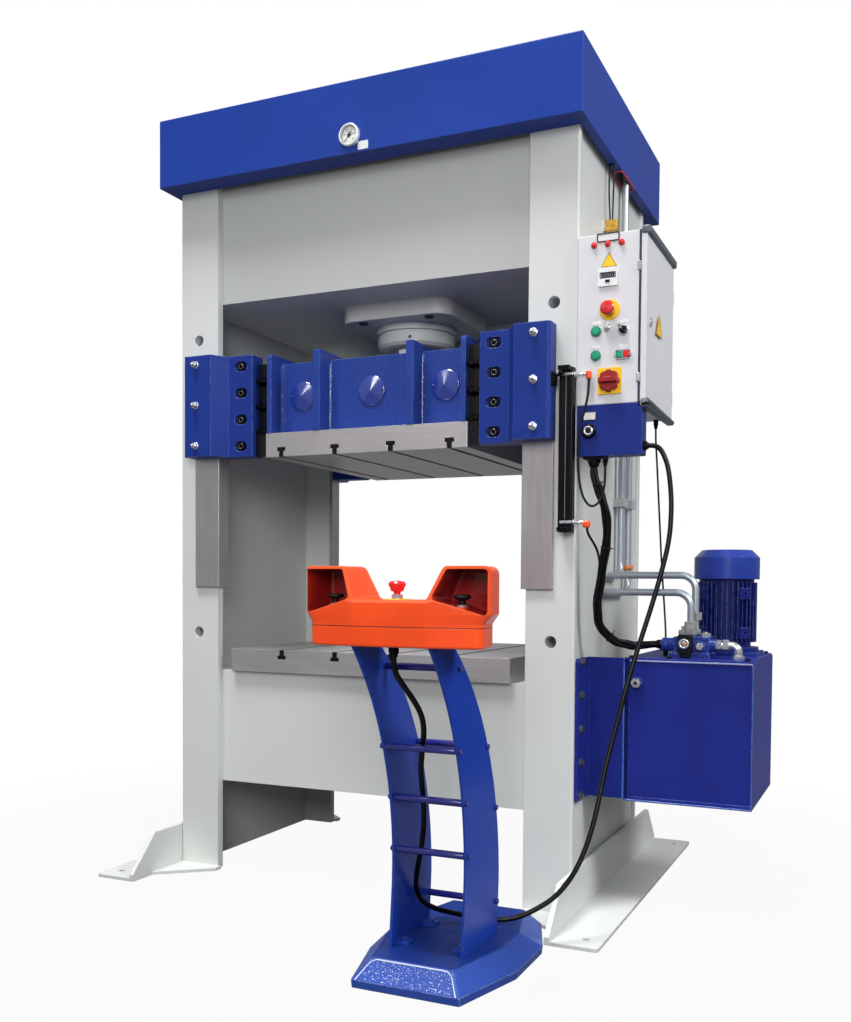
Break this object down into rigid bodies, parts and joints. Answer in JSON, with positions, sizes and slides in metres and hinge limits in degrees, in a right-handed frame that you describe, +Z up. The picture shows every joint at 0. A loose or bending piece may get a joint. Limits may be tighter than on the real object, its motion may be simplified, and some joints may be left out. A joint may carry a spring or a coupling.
{
  "type": "hydraulic press",
  "caption": "Straight-sided hydraulic press with T-slotted ram and bolster, side tank with motor pump, control cabinet and a two-hand console on a pedestal.",
  "frame": {"origin": "on the floor at the centre of the four anchor holes, midway between the columns", "axes": "+X to the machine's right seen from the operator, +Y towards its back, +Z up"},
  "size_m": [2.037, 1.895, 2.515],
  "materials": {
    "grey_paint": "satin light grey enamel",
    "blue_paint": "satin ultramarine enamel",
    "ground_steel": "ground and lightly oiled",
    "zinc": "bright zinc plate",
    "rod_chrome": "hard chrome",
    "black_oxide": "black oxide",
    "black_anodised": "black anodised",
    "orange_moulding": "glossy orange moulding",
    "black_plastic": "matte black",
    "orange_plug": "orange moulded connector",
    "yellow_plate": "plain yellow",
    "white_plate": "blank white plate",
    "red_plastic": "glossy red",
    "dark_red_plastic": "dark red",
    "green_plastic": "glossy green",
    "cable_rubber": "black cable sheath",
    "device_grey": "grey device plastic",
    "cast_blue": "blue enamel on castings"
  },
  "bodies": {
    "frame": {"left_column": "grey_paint", "right_column": "grey_paint", "crown_beam": "grey_paint", "bed_beam": "grey_paint", "feet": "grey_paint", "bolster_plate": "ground_steel", "guide_rails": "ground_steel", "crown_cover": "blue_paint", "pressure_gauge": "zinc", "cylinder_body": "grey_paint", "position_transducer": "black_anodised", "transducer_arms": "orange_plug", "cabinet_body": "grey_paint", "cabinet_chassis": "device_grey", "cabinet_hinges": "zinc", "panel_plates": "white_plate", "pilot_lights": "red_plastic", "counter_unit": "white_plate", "yellow_plates": "yellow_plate", "button_collars": "zinc", "junction_box": "blue_paint", "glands_and_clamps": "black_plastic", "tank_body": "blue_paint", "tank_lid": "blue_paint", "frame_screws": "black_oxide", "motor_housing": "cast_blue", "motor_cowl": "blue_paint", "valve_block": "cast_blue", "valve_coil": "black_plastic", "pipe_fittings": "zinc", "hydraulic_pipes": "zinc", "pedestal_base": "cast_blue", "pedestal_ladder": "blue_paint", "console_tray": "orange_moulding", "console_housing": "orange_moulding", "console_cable": "cable_rubber", "valve_cable": "cable_rubber", "sensor_leads": "cable_rubber"},
    "ram": {"ram_body": "blue_paint", "ram_plate": "ground_steel", "ram_caps": "blue_paint", "gib_blocks": "blue_paint", "gib_adjusters": "zinc", "gib_screws": "black_oxide", "cursor_arm": "black_oxide", "piston_rod": "rod_chrome"},
    "door": {"cabinet_door": "grey_paint"},
    "latch": {"door_latch": "zinc"},
    "needle": {"gauge_needle": "black_plastic"},
    "fan": {"motor_fan": "black_plastic"},
    "cabinet_stop": {"cabinet_estop": "red_plastic"},
    "console_stop": {"console_estop": "red_plastic"},
    "start": {"start_button": "green_plastic"},
    "return": {"return_button": "green_plastic"},
    "twin_go": {"twin_green": "green_plastic"},
    "twin_halt": {"twin_red": "red_plastic"},
    "selector": {"selector_knob": "black_plastic"},
    "main": {"main_switch": "dark_red_plastic"},
    "palm_left": {"palm_button_left": "black_plastic"},
    "palm_right": {"palm_button_right": "black_plastic"}
  },
  "joints": [
    {"name": "ram_travel", "type": "slide", "parent": "frame", "child": "ram", "axis": [0, 0, 1], "range_m": [-0.3, 0]},
    {"name": "door_hinge", "type": "hinge", "parent": "frame", "child": "door", "pos_m": [0.893, -0.042, 1.73], "axis": [0, 0, 1], "range_deg": [0, 110]},
    {"name": "latch_turn", "type": "hinge", "parent": "door", "child": "latch", "pos_m": [0.901, -0.37, 1.719], "axis": [1, 0, 0], "range_deg": [-90, 0]},
    {"name": "needle_turn", "type": "hinge", "parent": "frame", "child": "needle", "pos_m": [-0.004, -0.488, 2.346], "axis": [0, -1, 0], "range_deg": [0, 270]},
    {"name": "fan_spin", "type": "hinge", "parent": "frame", "child": "fan", "pos_m": [1.06, 0.06, 1.03], "axis": [0, 0, 1], "continuous": true},
    {"name": "cabinet_stop_press", "type": "slide", "parent": "frame", "child": "cabinet_stop", "axis": [0, 1, 0], "range_m": [0, 0.005], "stiffness_N_per_m": 400},
    {"name": "console_stop_press", "type": "slide", "parent": "frame", "child": "console_stop", "axis": [0, 0, -1], "range_m": [0, 0.005], "stiffness_N_per_m": 900},
    {"name": "start_press", "type": "slide", "parent": "frame", "child": "start", "axis": [0, 1, 0], "range_m": [0, 0.003], "stiffness_N_per_m": 400},
    {"name": "return_press", "type": "slide", "parent": "frame", "child": "return", "axis": [0, 1, 0], "range_m": [0, 0.003], "stiffness_N_per_m": 400},
    {"name": "twin_go_press", "type": "slide", "parent": "frame", "child": "twin_go", "axis": [0, 1, 0], "range_m": [0, 0.003], "stiffness_N_per_m": 400},
    {"name": "twin_halt_press", "type": "slide", "parent": "frame", "child": "twin_halt", "axis": [0, 1, 0], "range_m": [0, 0.003], "stiffness_N_per_m": 400},
    {"name": "selector_turn", "type": "hinge", "parent": "frame", "child": "selector", "pos_m": [0.836, -0.41, 1.695], "axis": [0, -1, 0], "range_deg": [0, 90]},
    {"name": "main_turn", "type": "hinge", "parent": "frame", "child": "main", "pos_m": [0.798, -0.41, 1.555], "axis": [0, -1, 0], "range_deg": [0, 90]},
    {"name": "palm_left_press", "type": "slide", "parent": "frame", "child": "palm_left", "axis": [0, 0, -1], "range_m": [0, 0.005], "stiffness_N_per_m": 900},
    {"name": "palm_right_press", "type": "slide", "parent": "frame", "child": "palm_right", "axis": [0, 0, -1], "range_m": [0, 0.005], "stiffness_N_per_m": 900}
  ]
}
